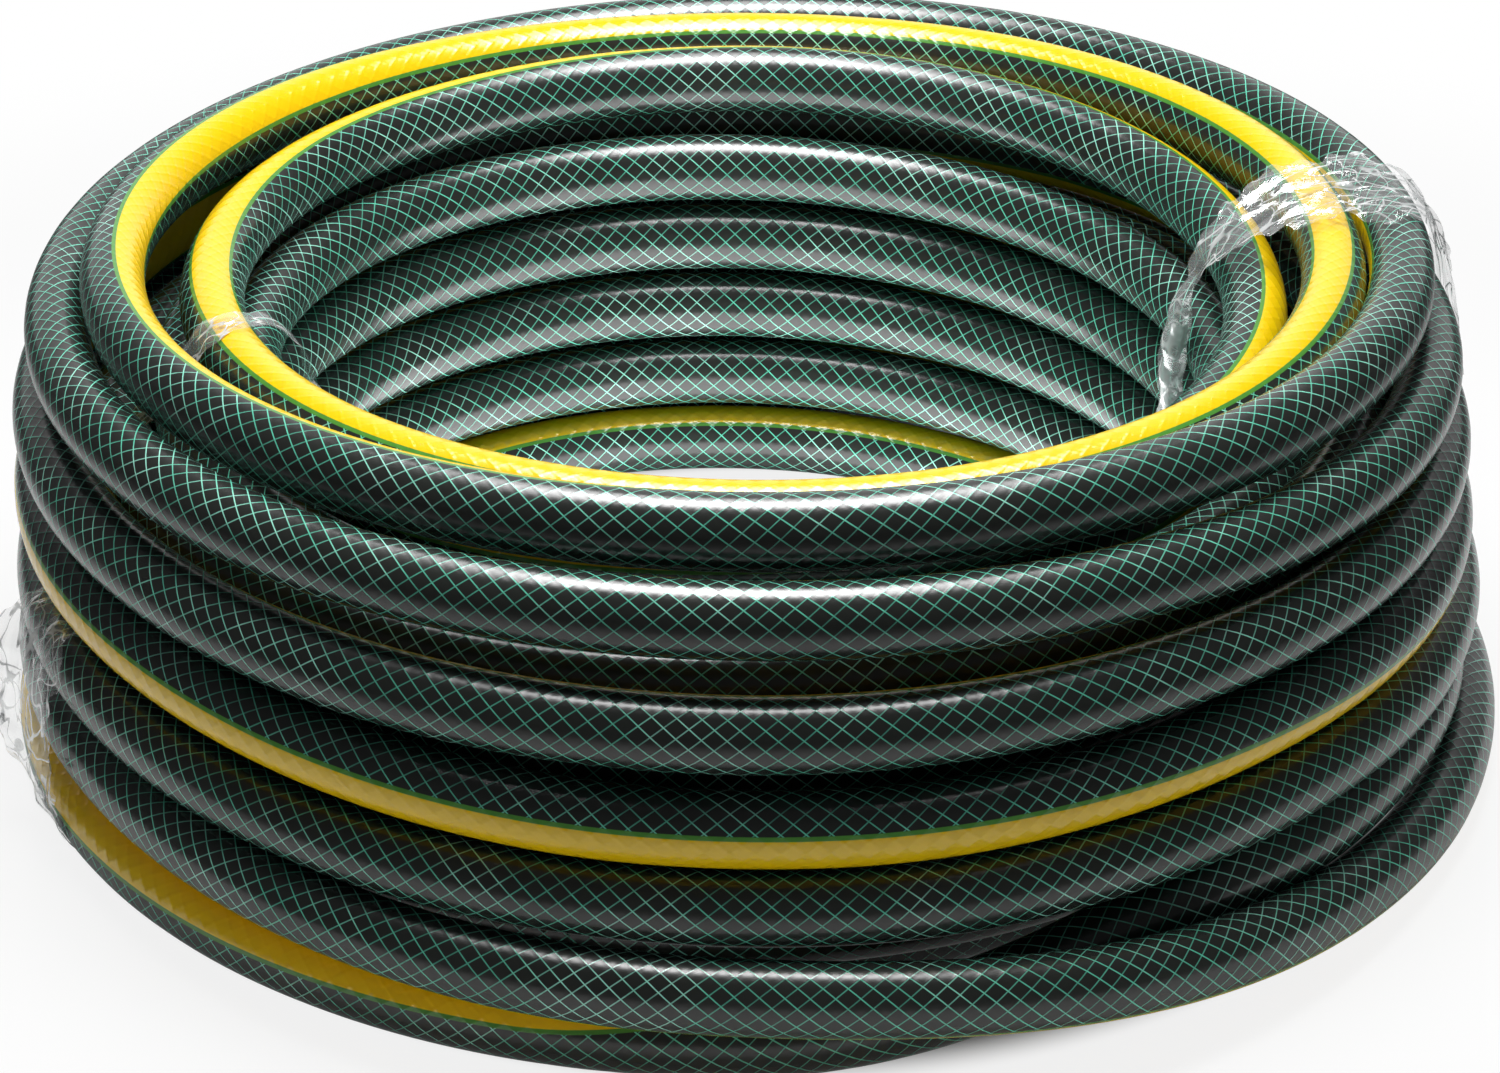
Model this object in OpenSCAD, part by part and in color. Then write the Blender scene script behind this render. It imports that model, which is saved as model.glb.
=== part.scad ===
// Garden hose with a woven-yarn wall, 25 m, sold as a tied coil.
// The hose is one tube from end to end. It is wound in four layers, up, down,
// up and down again, and its last turn lies on the floor beside the stack.
// Z is up, the floor is z = 0 and the origin is under the middle of the coil.
// A turn is counted from the front (-Y) and runs anticlockwise from above.

/* [Hose] */
// Bore of the hose
hose_bore = 16; // [12.5:0.1:19]
// Thickness of the inner tube under the yarn
liner_wall = 0.8; // [0.6:0.05:1.2]
// Thickness of the clear cover over the yarn
cover_wall = 0.66; // [0.6:0.02:1.2]
// How much narrower the hose gets where the turns press on each other
squeeze = 1.4; // [0.6:0.1:2]
// How much taller it gets there
swell = 1.2; // [0.4:0.1:1.6]

/* [Yarn] */
// Thickness of one yarn
yarn_d = 0.42; // [0.3:0.02:0.5]
// Yarns that run each way round the hose
yarn_count = 12; // [6:1:16]
// Length of hose in which a yarn goes once round
yarn_lead = 78; // [50:1:120]
// Free room on both sides of a layer of yarn
yarn_gap = 0.025; // [0.02:0.005:0.05]

/* [Stripe] */
// Width of the coloured stripe along the cover
stripe_w = 11.5; // [6:0.5:16]
// Depth of the stripe in the cover
stripe_t = 0.4; // [0.2:0.05:0.5]
// Width of the thin line along each edge of the stripe
line_w = 1.3; // [0.6:0.1:2]
// Direction of the stripe at the outer cut end, 0 outwards and 90 up
stripe_roll_end = 160; // [-180:5:180]
// Direction of the stripe at the inner cut end
stripe_roll_start = 100; // [-180:5:180]

/* [Coil] */
// Clear radius of the eye of the coil
eye_r = 138.3; // [110:0.1:180]
// Gap between turns that lie side by side
side_gap = 0.6; // [0.5:0.1:2]
// Gap between turns of the two middle layers
middle_gap = 3.7; // [3.6:0.1:4.2]
// Gap between turns of the inner and the outer layer
loose_gap = 3.0; // [2.6:0.1:3.4]
// Straight run of the coil before each cut end
straight_run = 21; // [21:0.5:30]
// Length of the open cut end, as deep as a hose tail goes in
end_len = 20; // [12:1:26]

/* [Film ties] */
// Thickness of the gathered film
film_t = 0.4; // [0.3:0.05:0.8]
// Gap between the film and the hose
film_gap = 0.3; // [0.3:0.05:0.6]
// Width of a tie over the outer turns
film_w_out = 34; // [20:1:50]
// Width of a tie in the eye, where it is drawn together
film_w_eye = 9; // [6:1:20]
// How far the left tie hangs loose low down on the outside
film_slack = 5; // [2:0.5:12]

/* [Hidden] */
$fn = 96;
// How far a cut runs past the face it opens
cut_over = 1;

// Wall of the hose, from the bore outwards
liner_r = hose_bore/2 + liner_wall;
yarn_r1 = liner_r + yarn_gap + yarn_d/2;
yarn_r2 = yarn_r1 + yarn_d + yarn_gap;
cover_r = yarn_r2 + yarn_d/2 + yarn_gap;
hose_r = cover_r + cover_wall;
hose_d = 2*hose_r;
stripe_deg = stripe_w/hose_r*180/PI;
line_deg = line_w/hose_r*180/PI;

// One turn in the coil: its oval section and the steps between turns
lay_w = hose_d - squeeze;
lay_h = hose_d + swell;
side_step = lay_w + side_gap;
middle_pitch = lay_h + middle_gap;
loose_pitch = lay_h + loose_gap;
layer_r = [for (k = [0:2]) eye_r + lay_w/2 + k*side_step];

// Faces: rings in a turn, sides of a ring, half width of a ring's flat foot
TURN_RINGS = 24;
RING_SIDES = 6;
FOOT = 0.3;

// The route counts turns from the top of the inner layer. The hose starts in
// the middle layer on the floor. Its last turn runs on the floor outside the
// stack, tucks in behind the turn before it and ends resting on that turn.
first_turn = -13.78;
last_turn = 8.3;
mid_up = [first_turn, -9.6];
next_down = [-9.37, -4.92];
inner_up = [-4.65, 0];
outer_down = [3.3, 6.95];
outer_drop = [6.99, 0.21];
round_turns = 0.15;
// Sideways moves: turn where the move starts, turns it takes, steps outwards
SHIFTS = [
    [-9.75, 0.5, -1], [-5.03, 0.46, -1], [0, 0.35, 0.45], [0.7, 0.6, 1.05],
    [1.5, 0.35, 0.5], [1.9, 0.6, 0.8], [3, 0.4, 0.25], [6.08, 0.2, 0.09],
    [6.35, 0.4, -0.1], [6.82, 0.3, 0.65], [7.05, 0.12, -0.31], [7.18, 0.15, 0.14],
    [7.5, 0.55, -0.84], [8.03, 0.1, -0.18], [8.16, 0.14, 0.17]
];
// Upward moves over the top and in the outer layer, in heights of the hose
LIFTS = [
    [0.04, 0.45, 0.7], [0.6, 0.4, 0.24], [0.75, 0.6, 0.08], [1.25, 0.35, -0.24],
    [1.45, 0.35, 0.41], [1.7, 0.3, 0.13], [1.95, 0.8, -0.82], [2.95, 0.35, -0.64],
    [4, 0.12, 0.075], [4.84, 0.14, -0.19], [5.02, 0.12, 0.22], [5.2, 0.5, -0.13],
    [6.02, 0.12, 0.18], [6.2, 0.5, -0.08]
];
// The last turn climbs on to the turn before it, in heights of the hose
end_climb = [8, 0.12, 0.88];
// The outer layer widens towards the floor and sits forward of the others
outer_flare = 0.075*side_step;
outer_lean = side_step*[0.03, -0.065];
lean_turns = [3, 7];

function ease(t) = let (c = min(1, max(0, t))) c*c*(3 - 2*c);
function ran(u, span) = min(span[1], max(span[0], u)) - span[0];
function sum(v) = v*[for (x = v) 1];

// 1 on the round cut ends, 0 in the coil
function roundness(u) =
    1 - ease((u - first_turn)/round_turns) + ease((u - last_turn)/round_turns + 1);
function half_w(u) = (lay_w + squeeze*roundness(u))/2;
function half_h(u) = (lay_h - swell*roundness(u))/2;

function turn_r(u) =
    layer_r[2]
    + side_step*sum([for (m = SHIFTS) m[2]*ease((u - m[0])/m[1])])
    + outer_flare*ran(u, [outer_down[0] + 0.1, outer_down[1] + 0.05]);

mid_top = middle_pitch*(mid_up[1] - mid_up[0]);
next_pitch = mid_top/(next_down[1] - next_down[0]);
outer_left = loose_pitch*(inner_up[1] - inner_up[0] - outer_down[1] + outer_down[0])
    + lay_h*sum([for (m = LIFTS) m[2]]);

function turn_z(u) =
    half_h(u)
    + middle_pitch*ran(u, mid_up)
    - next_pitch*ran(u, next_down)
    + loose_pitch*(ran(u, inner_up) - ran(u, outer_down))
    + lay_h*sum([for (m = LIFTS) m[2]*ease((u - m[0])/m[1])])
    - outer_left*ease((u - outer_drop[0])/outer_drop[1])
    + lay_h*end_climb[2]*ease((u - end_climb[0])/end_climb[1]);

function spot(u) =
    let (r = turn_r(u), f = ran(u, lean_turns))
    [outer_lean[0]*f + r*sin(360*u), outer_lean[1]*f - r*cos(360*u), turn_z(u)];
function flat_unit(v) = [v[0], v[1], 0]/norm([v[0], v[1]]);

// Directions in which the two cut ends point
start_dir = flat_unit(spot(first_turn) - spot(first_turn + 0.001));
end_dir = flat_unit(spot(last_turn) - spot(last_turn - 0.001));

ring_count = round((last_turn - first_turn)*TURN_RINGS);
ring_turn = [for (i = [0:ring_count]) first_turn + (last_turn - first_turn)*i/ring_count];
ring_u = concat([first_turn], ring_turn, [last_turn]);
ring_c = concat(
    [spot(first_turn) + straight_run*start_dir],
    [for (u = ring_turn) spot(u)],
    [spot(last_turn) + straight_run*end_dir]
);
ring_last = len(ring_c) - 1;

function ring_dir(i) =
    i == 0 ? -start_dir :
    i == ring_last ? end_dir :
    let (d = ring_c[i + 1] - ring_c[i - 1]) d/norm(d);

// Under a tie the foot of the floor turns makes room for the film
tie_at = [96, 293];
tie_half = film_w_out/2/layer_r[2]*180/PI;
function turn_off(a, b) = abs((a - b + 900) % 360 - 180);
function foot_z(p) =
    let (a = atan2(p[0], -p[1]))
    min([for (t = tie_at) turn_off(a, t)]) < tie_half + 360/TURN_RINGS ? film_t + film_gap : 0;

// Corners of one side section: two at mid height, four on the flats
function ring_points(i) =
    let (
        t = ring_dir(i),
        s = flat_unit([t[1], -t[0]]),
        n = cross(s, t),
        w = half_w(ring_u[i]),
        h = half_h(ring_u[i]),
        floor_z = foot_z(ring_c[i])
    )
    [for (k = [0:RING_SIDES - 1])
        let (
            c = k % 3 == 0 ? cos(60*k) : 2*FOOT*cos(60*k),
            p = ring_c[i] + s*w*c + n*h*sin(60*k)/sin(60)
        )
        [p[0], p[1], max(floor_z, p[2])]];
ring_p = [for (i = [0:ring_last]) ring_points(i)];

// The middle of the coil's outline stands over the origin
all_x = [for (r = ring_p) for (p = r) p[0]];
all_y = [for (r = ring_p) for (p = r) p[1]];
coil_move = -[max(all_x) + min(all_x), max(all_y) + min(all_y), 0]/2;

// Least gap of the tube to itself: rings of two turns at the same place are
// pushed apart along the line between their middles
function reach(i, n) = max([for (p = ring_p[i]) (p - ring_c[i])*n]);
function pair_gap(i, j) =
    let (d = ring_c[j] - ring_c[i], n = d/norm(d))
    norm(d) - reach(i, n) - reach(j, -n);
function least_gap() = min([
    for (i = [0:ring_last - TURN_RINGS])
        for (m = [1:floor((ring_last - i)/TURN_RINGS)])
            for (s = [-2:2])
                let (j = i + m*TURN_RINGS + s)
                if (j <= ring_last && norm(ring_c[j] - ring_c[i]) < 2*hose_d)
                    pair_gap(i, j)
]);
function route_length() =
    sum([for (i = [1:ring_last]) norm(ring_c[i] - ring_c[i - 1])]) + 2*end_len;

// Two triangles for each side of the tube between two rings
function side_faces(i, k) =
    let (
        a = i*RING_SIDES + k,
        b = i*RING_SIDES + (k + 1) % RING_SIDES,
        c = a + RING_SIDES,
        d = b + RING_SIDES
    )
    [[a, b, c], [b, d, c]];
function fan(i, turned) = [
    for (k = [1:RING_SIDES - 2])
        let (a = i*RING_SIDES)
        turned ? [a, a + k, a + k + 1] : [a, a + k + 1, a + k]
];

module hose_winding() {
    echo(least_gap_mm = least_gap(), length_m = route_length()/1000);
    color("#1c2a24")
        translate(coil_move)
            polyhedron(
                points = [for (r = ring_p) each r],
                faces = concat(
                    fan(0, false),
                    [for (i = [0:ring_last - 1])
                        for (k = [0:RING_SIDES - 1]) each side_faces(i, k)],
                    fan(ring_last, true)
                )
            );
}

// Stands a cut end, made along +Z with its stripe towards +X, at its place.
// roll is 0 outwards and 90 up; side is 1 where outwards lies right of the hose.
module at_end(place, dir, side, roll) {
    translate(coil_move + place)
        rotate([0, 0, atan2(dir[1], dir[0])])
            rotate([side*roll, 0, 0])
                multmatrix([[0, 0, 1, 0], [-side, 0, 0, 0], [0, -side, 0, 0], [0, 0, 0, 1]])
                    children();
}

module at_outer_end() {
    at_end(ring_c[ring_last], end_dir, 1, -stripe_roll_end) children();
}

module at_inner_end() {
    at_end(ring_c[0], start_dir, -1, -stripe_roll_start) children();
}

module tube(r_in, r_out) {
    difference() {
        cylinder(h = end_len, r = r_out);
        translate([0, 0, -cut_over]) cylinder(h = end_len + 2*cut_over, r = r_in);
    }
}

// A slice of the cover's wall, from one angle over a span of angle
module wall_slice(r_in, r_out, from, span, extra = 0) {
    translate([0, 0, -extra])
        rotate([0, 0, from])
            rotate_extrude(angle = span)
                translate([r_in, 0]) square([r_out - r_in, end_len + 2*extra]);
}

module liner() {
    color("#23302b") tube(hose_bore/2, liner_r);
}

// One layer of yarn, all its yarns wound the same way
module yarn_layer(r, way) {
    color("#63bfa2")
        linear_extrude(height = end_len, twist = way*360*end_len/yarn_lead, slices = 5, $fn = 6)
            for (k = [0:yarn_count - 1])
                rotate(360*k/yarn_count) translate([r, 0]) circle(d = yarn_d);
}

module cover() {
    color("#1f332b")
        difference() {
            tube(cover_r, hose_r);
            wall_slice(
                hose_r - stripe_t, hose_r + cut_over,
                -stripe_deg/2 - line_deg, stripe_deg + 2*line_deg, cut_over
            );
        }
}

module stripe() {
    color("#f2cf00")
        wall_slice(hose_r - stripe_t, hose_r, -stripe_deg/2, stripe_deg);
}

// The thin line on one side of the stripe
module edge_line(side) {
    color("#3f9a35")
        wall_slice(
            hose_r - stripe_t, hose_r,
            side > 0 ? stripe_deg/2 : -stripe_deg/2 - line_deg, line_deg
        );
}

module end_liner() {
    at_outer_end() liner();
}

module end_yarn_left() {
    at_outer_end() yarn_layer(yarn_r1, 1);
}

module end_yarn_right() {
    at_outer_end() yarn_layer(yarn_r2, -1);
}

module end_cover() {
    at_outer_end() cover();
}

module end_stripe() {
    at_outer_end() stripe();
}

module end_line_upper() {
    at_outer_end() edge_line(1);
}

module end_line_lower() {
    at_outer_end() edge_line(-1);
}

module start_liner() {
    at_inner_end() liner();
}

module start_yarn_left() {
    at_inner_end() yarn_layer(yarn_r1, 1);
}

module start_yarn_right() {
    at_inner_end() yarn_layer(yarn_r2, -1);
}

module start_cover() {
    at_inner_end() cover();
}

module start_stripe() {
    at_inner_end() stripe();
}

module start_line_upper() {
    at_inner_end() edge_line(1);
}

module start_line_lower() {
    at_inner_end() edge_line(-1);
}

// All the turns that cross the plane at angle a, as one outline of radius and
// height. A straight facet lies closer to the eye than the turn it stands for.
module bundle_outline(a) {
    sag = layer_r[0]*(1 - cos(180/TURN_RINGS));
    hull() {
        for (da = [-tie_half, 0, tie_half]) {
            first = ceil(first_turn - (a + da)/360);
            last = floor(last_turn - (a + da)/360);
            for (k = [first:last]) {
                u = k + (a + da)/360;
                c = spot(u);
                w = half_w(u);
                h = half_h(u);
                for (dr = [0, -sag]) {
                    translate([norm([c[0], c[1]]) + dr, c[2]])
                        polygon([
                            [w, 0], [FOOT*w, h], [-FOOT*w, h],
                            [-w, 0], [-FOOT*w, -h], [FOOT*w, -h]
                        ]);
                }
            }
        }
        children();
    }
}

// A closed band of film round the bundle at angle a, narrow in the eye
module tie(a) {
    reach_out = layer_r[2] + 4*side_step;
    color([0.85, 0.9, 0.92, 0.5])
        translate(coil_move)
            rotate([0, 0, a - 90])
                intersection() {
                    rotate([0, 0, -2*tie_half])
                        rotate_extrude(angle = 4*tie_half)
                            intersection() {
                                difference() {
                                    offset(delta = film_gap + film_t) bundle_outline(a) children();
                                    intersection() {
                                        offset(delta = film_gap) bundle_outline(a) children();
                                        translate([0, film_t]) square([reach_out, reach_out]);
                                    }
                                }
                                square([reach_out, reach_out]);
                            }
                    linear_extrude(height = reach_out)
                        polygon([
                            [eye_r/2, -film_w_eye/2], [layer_r[0], -film_w_eye/2],
                            [layer_r[2], -film_w_out/2], [reach_out, -film_w_out/2],
                            [reach_out, film_w_out/2], [layer_r[2], film_w_out/2],
                            [layer_r[0], film_w_eye/2], [eye_r/2, film_w_eye/2]
                        ]);
                }
}

module tie_right() {
    tie(tie_at[0]);
}

module tie_left() {
    low = spot(ceil(last_turn - 1) - 1 + tie_at[1]/360);
    tie(tie_at[1])
        translate([norm([low[0], low[1]]) + lay_w/2 + film_slack, 1.5*lay_h])
            circle(d = lay_w/2, $fn = 24);
}

hose_winding();
end_liner();
end_yarn_left();
end_yarn_right();
end_cover();
end_stripe();
end_line_upper();
end_line_lower();
start_liner();
start_yarn_left();
start_yarn_right();
start_cover();
start_stripe();
start_line_upper();
start_line_lower();
tie_right();
tie_left();
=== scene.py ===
"""Looks of a coiled, yarn-reinforced garden hose held by two ties of clear film.

The hose is one long tube whose middle line is a formula of turns. Its clear
dark cover shows two layers of helical yarn, and carries a yellow stripe with a
thin green line along each edge. Lengths in the classes are in millimetres,
because the hose is specified so, and meshes are made in metres.
"""

from __future__ import annotations

import logging
import math
from dataclasses import dataclass
from enum import Enum

import bpy
import numpy as np
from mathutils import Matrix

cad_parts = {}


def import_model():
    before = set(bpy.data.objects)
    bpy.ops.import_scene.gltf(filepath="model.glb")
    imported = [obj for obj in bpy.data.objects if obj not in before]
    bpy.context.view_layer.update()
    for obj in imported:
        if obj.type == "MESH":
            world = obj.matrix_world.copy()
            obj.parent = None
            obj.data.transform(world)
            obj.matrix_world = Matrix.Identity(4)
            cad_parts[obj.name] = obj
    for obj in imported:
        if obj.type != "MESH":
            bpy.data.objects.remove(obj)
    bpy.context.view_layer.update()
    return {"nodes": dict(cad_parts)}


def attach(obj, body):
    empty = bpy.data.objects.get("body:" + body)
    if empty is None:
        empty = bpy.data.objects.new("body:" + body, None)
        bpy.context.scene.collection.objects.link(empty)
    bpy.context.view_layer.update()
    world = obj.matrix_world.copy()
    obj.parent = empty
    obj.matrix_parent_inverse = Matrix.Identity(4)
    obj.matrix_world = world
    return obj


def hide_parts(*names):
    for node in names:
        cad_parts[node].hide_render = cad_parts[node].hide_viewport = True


log = logging.getLogger("hose")
MM = 0.001
ROOT = "root"
WHITE = (1.0, 1.0, 1.0, 1.0)
# results of a smooth step that falls from 1 to 0
FALL = (1.0, 0.0)


class Slot(Enum):
    """Material slots of the record, named here; no piece takes its finish from them."""

    HOSE = "hose_dark"
    LINER = "liner_dark"
    FILM = "film_clear"


# ----------------------------------------------------------------- shader maths


class Val:
    """One shader value. Python operators on it add Math nodes."""

    def __init__(self, graph: "Graph", socket: bpy.types.NodeSocket) -> None:
        """Wraps an output socket of a node in graph."""
        self.graph = graph
        self.socket = socket

    def _math(self, op: str, *others: "Val | float", clamp: bool = False) -> "Val":
        """Adds one Math node.

        Args:
            op: The Math node's operation.
            others: Its other operands, values or numbers.
            clamp: Whether the result is held between 0 and 1.

        Returns:
            The node's value.
        """
        return self.graph.add(
            "ShaderNodeMath",
            {"operation": op, "use_clamp": clamp},
            {i: v for i, v in enumerate((self, *others))},
        )

    def __add__(self, o: "Val | float") -> "Val":
        """Sum."""
        return self._math("ADD", o)

    def __radd__(self, o: float) -> "Val":
        """Sum with a number first."""
        return self._math("ADD", o)

    def __sub__(self, o: "Val | float") -> "Val":
        """Difference."""
        return self._math("SUBTRACT", o)

    def __rsub__(self, o: float) -> "Val":
        """A number less this value."""
        return (self * -1.0) + o

    def __mul__(self, o: "Val | float") -> "Val":
        """Product."""
        return self._math("MULTIPLY", o)

    def __rmul__(self, o: float) -> "Val":
        """Product with a number first."""
        return self._math("MULTIPLY", o)

    def __abs__(self) -> "Val":
        """Size without its sign."""
        return self._math("ABSOLUTE")

    def fract(self) -> "Val":
        """Part after the point, from 0 to 1."""
        return self._math("FRACT")

    def floor(self) -> "Val":
        """Whole number below."""
        return self._math("FLOOR")

    def most(self, o: "Val | float") -> "Val":
        """Larger of the two."""
        return self._math("MAXIMUM", o)

    def held(self) -> "Val":
        """The value held between 0 and 1."""
        return self._math("ADD", 0.0, clamp=True)

    def beside(self, name: str) -> "Val":
        """Another output of the node that gives this value."""
        return Val(self.graph, self.socket.node.outputs[name])

    def step(self, low: float, high: float, to: tuple[float, float] = (0.0, 1.0)) -> "Val":
        """Smooth step.

        Args:
            low: Where it starts to change.
            high: Where it has changed.
            to: The results at low and at high.

        Returns:
            The stepped value.
        """
        return self.graph.add(
            "ShaderNodeMapRange",
            {"interpolation_type": "SMOOTHSTEP"},
            {"Value": self, "From Min": low, "From Max": high, "To Min": to[0], "To Max": to[1]},
        )


class Graph:
    """Node tree of a material or a world, with one method that adds any node."""

    def __init__(self, name: str, world: bool = False) -> None:
        """Starts a material or a world with only its output node.

        Args:
            name: Its name.
            world: Whether it is a world.
        """
        self.owner = (bpy.data.worlds if world else bpy.data.materials).new(name)
        self.owner.use_nodes = True
        self.tree = self.owner.node_tree
        self.tree.nodes.clear()
        kind = "ShaderNodeOutputWorld" if world else "ShaderNodeOutputMaterial"
        self.output = self.tree.nodes.new(kind)

    def add(
        self,
        kind: str,
        settings: dict | None = None,
        inputs: dict | None = None,
        out: str | int = 0,
    ) -> Val:
        """Adds a node.

        Args:
            kind: The node's type.
            settings: Its properties, which are set first.
            inputs: Values or links of its sockets, by name or number.
            out: The output that is returned.

        Returns:
            The chosen output's value.
        """
        node = self.tree.nodes.new(kind)
        for key, value in (settings or {}).items():
            setattr(node, key, value)
        for key, value in (inputs or {}).items():
            if isinstance(value, Val):
                self.tree.links.new(value.socket, node.inputs[key])
            else:
                node.inputs[key].default_value = value
        return Val(self, node.outputs[out])

    def mix(self, amount: Val | float, low: Val | tuple, high: Val | tuple) -> Val:
        """Mixes two colours by amount."""
        inputs = {0: amount, 6: low, 7: high}
        return self.add("ShaderNodeMix", {"data_type": "RGBA"}, inputs, out=2)

    def uv(self, name: str) -> tuple[Val, Val]:
        """Reads a UV map.

        Args:
            name: The UV map's name.

        Returns:
            Its two values.
        """
        place = self.add("ShaderNodeUVMap", {"uv_map": name}, out="UV")
        across = self.add("ShaderNodeSeparateXYZ", {}, {0: place}, out="X")
        return across, across.beside("Y")

    def noise(self, place: Val, scale: float, detail: float = 2.0, rough: float = 0.5) -> Val:
        """Noise from 0 to 1 at a place."""
        inputs = {"Vector": place, "Scale": scale, "Detail": detail, "Roughness": rough}
        return self.add("ShaderNodeTexNoise", {}, inputs, out="Fac")

    def place(self) -> Val:
        """Object coordinates."""
        return self.add("ShaderNodeTexCoord", {}, out="Object")

    def shade(self, number: Val) -> Val:
        """A random value from 0 to 1 for each whole number."""
        return self.add("ShaderNodeTexWhiteNoise", {"noise_dimensions": "1D"}, {"W": number})

    def bump(self, height: Val, strength: float, distance: float) -> Val:
        """A normal bent by a height, at a strength and a distance in metres."""
        inputs = {"Strength": strength, "Distance": distance, "Height": height}
        return self.add("ShaderNodeBump", {}, inputs)

    def skin(
        self,
        colour: Val | tuple,
        roughness: Val | float,
        normal: Val,
        ior: float,
        metal: float = 0.0,
    ) -> Val:
        """Adds a Principled surface.

        Args:
            colour: Its base colour.
            roughness: Its roughness.
            normal: Its bent normal.
            ior: Its index of refraction.
            metal: Its share of metal.

        Returns:
            The surface.
        """
        inputs = {
            "Base Color": colour,
            "Metallic": metal,
            "Roughness": roughness,
            "IOR": ior,
            "Normal": normal,
        }
        return self.add("ShaderNodeBsdfPrincipled", {}, inputs)

    def finish(self, surface: Val) -> bpy.types.Material | bpy.types.World:
        """Joins the surface to the output and gives the material or the world."""
        self.tree.links.new(surface.socket, self.output.inputs["Surface"])
        return self.owner


def rgba(colour: tuple[float, float, float]) -> tuple[float, float, float, float]:
    """A colour with full alpha."""
    return (*colour, 1.0)


# ------------------------------------------------------------------- the finishes


@dataclass(frozen=True)
class YarnNet:
    """Two layers of helical yarn, as seen through the cover."""

    # yarns in a layer, length of one turn of a yarn, and space between yarns
    count: int = 12
    lead: float = 78.0
    pitch: float = 4.17
    width: float = 0.36
    colour: tuple[float, float, float] = (0.15, 0.72, 0.51)
    pale: tuple[float, float, float] = (0.42, 0.93, 0.76)

    def distance(self, along: Val, around: Val, way: int) -> tuple[Val, Val]:
        """Distance from the nearest yarn of one layer, across the yarn.

        A yarn lies where count * (around + way * along / lead) is whole, so the
        distance is the gap to the nearest whole number times the yarns' pitch.

        Args:
            along: Length along the hose in metres.
            around: Turn round the hose, 0 at the middle of the stripe.
            way: 1 or -1, the way the yarn winds.

        Returns:
            The distance in millimetres, and the yarn's number.
        """
        phase = (around + along * (way / (self.lead * MM))) * float(self.count) + 0.5
        return abs(phase.fract() - 0.5) * self.pitch, phase.floor()


@dataclass(frozen=True)
class CoverFinish:
    """Clear dark cover with its yarn, its stripe and the stripe's green edges."""

    net: YarnNet = YarnNet()
    dark: tuple[float, float, float] = (0.0270, 0.0310, 0.0270)
    deep: tuple[float, float, float] = (0.0170, 0.0190, 0.0170)
    stripe: tuple[float, float, float] = (0.95, 0.60, 0.002)
    stripe_warm: tuple[float, float, float] = (0.97, 0.66, 0.004)
    line: tuple[float, float, float] = (0.085, 0.30, 0.045)
    # half the stripe, the width of a line and the blur of their edges, in turns round the hose
    stripe_half: float = 0.096
    line_span: float = 0.020
    blur: float = 0.002
    # reach of the cover's swelling over a yarn, in millimetres
    swell: float = 1.1
    roughness: float = 0.24
    bump: float = 0.22

    def make(self) -> bpy.types.Material:
        """Builds the cover's material.

        Returns:
            The material. It reads the UV map "hose": metres along the hose and
            turns round it.
        """
        g = Graph("hose_cover")
        along, around = g.uv("hose")
        place = g.place()
        one, number_one = self.net.distance(along, around, 1)
        two, number_two = self.net.distance(along, around, -1)
        half = self.net.width / 2
        hit_one = one.step(half * 0.7, half * 1.25, FALL)
        hit_two = two.step(half * 0.7, half * 1.25, FALL)
        # yarns are not all as bright: each yarn and each stretch of it has its own random tone,
        # and the first layer is painted brighter than the second as a painted sheen on its yarns
        wander = g.noise(place, 38.0, 2.0)
        tone_and_sheen_one = hit_one * (g.shade(number_one) * 0.30 + wander * 0.6 + 0.50).held()
        tone_and_sheen_two = hit_two * (g.shade(number_two) * 0.25 + wander * 0.5 + 0.20).held()
        yarn = tone_and_sheen_one.most(tone_and_sheen_two)
        cloud = g.noise(place, 14.0, 3.0)
        base = g.mix(cloud, rgba(self.deep), rgba(self.dark))
        thread = g.mix(wander.step(0.45, 0.7), rgba(self.net.colour), rgba(self.net.pale))
        colour = g.mix(yarn, base, thread)
        side = abs(around)
        outer = self.stripe_half + self.line_span
        edge = side.step(outer - self.blur, outer + self.blur, FALL)
        middle = side.step(self.stripe_half - self.blur, self.stripe_half + self.blur, FALL)
        colour = g.mix(edge, colour, rgba(self.line))
        warm = g.mix(cloud, rgba(self.stripe), rgba(self.stripe_warm))
        colour = g.mix(middle, colour, warm)
        # the cover stands up a little over each yarn, and more at a crossing
        ridge_one = one.step(0.0, self.swell, FALL)
        ridge_two = two.step(0.0, self.swell, FALL)
        fine = g.noise(place, 900.0, 2.0)
        ridges = ridge_one + ridge_two + ridge_one * ridge_two * 0.8
        height = ridges * (edge * 1.2 + 1.0) + fine * 0.12
        normal = g.bump(height, self.bump, 0.00012)
        rough = cloud * 0.08 + (self.roughness - 0.04) - edge * 0.05
        return g.finish(g.skin(colour, rough, normal, 1.55))


@dataclass(frozen=True)
class PlainFinish:
    """Soft PVC or yarn of one colour with a little cloud in it."""

    name: str
    colour: tuple[float, float, float]
    roughness: float

    def make(self) -> bpy.types.Material:
        """Builds the material.

        Returns:
            The material, which reads Object coordinates.
        """
        g = Graph(self.name)
        cloud = g.noise(g.place(), 120.0, 3.0)
        low = tuple(0.8 * c for c in self.colour)
        colour = g.mix(cloud, rgba(low), rgba(self.colour))
        height = g.noise(g.place(), 1500.0, 2.0)
        normal = g.bump(height, 0.2, 0.0001)
        return g.finish(g.skin(colour, cloud * 0.1 + self.roughness, normal, 1.5))


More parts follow.
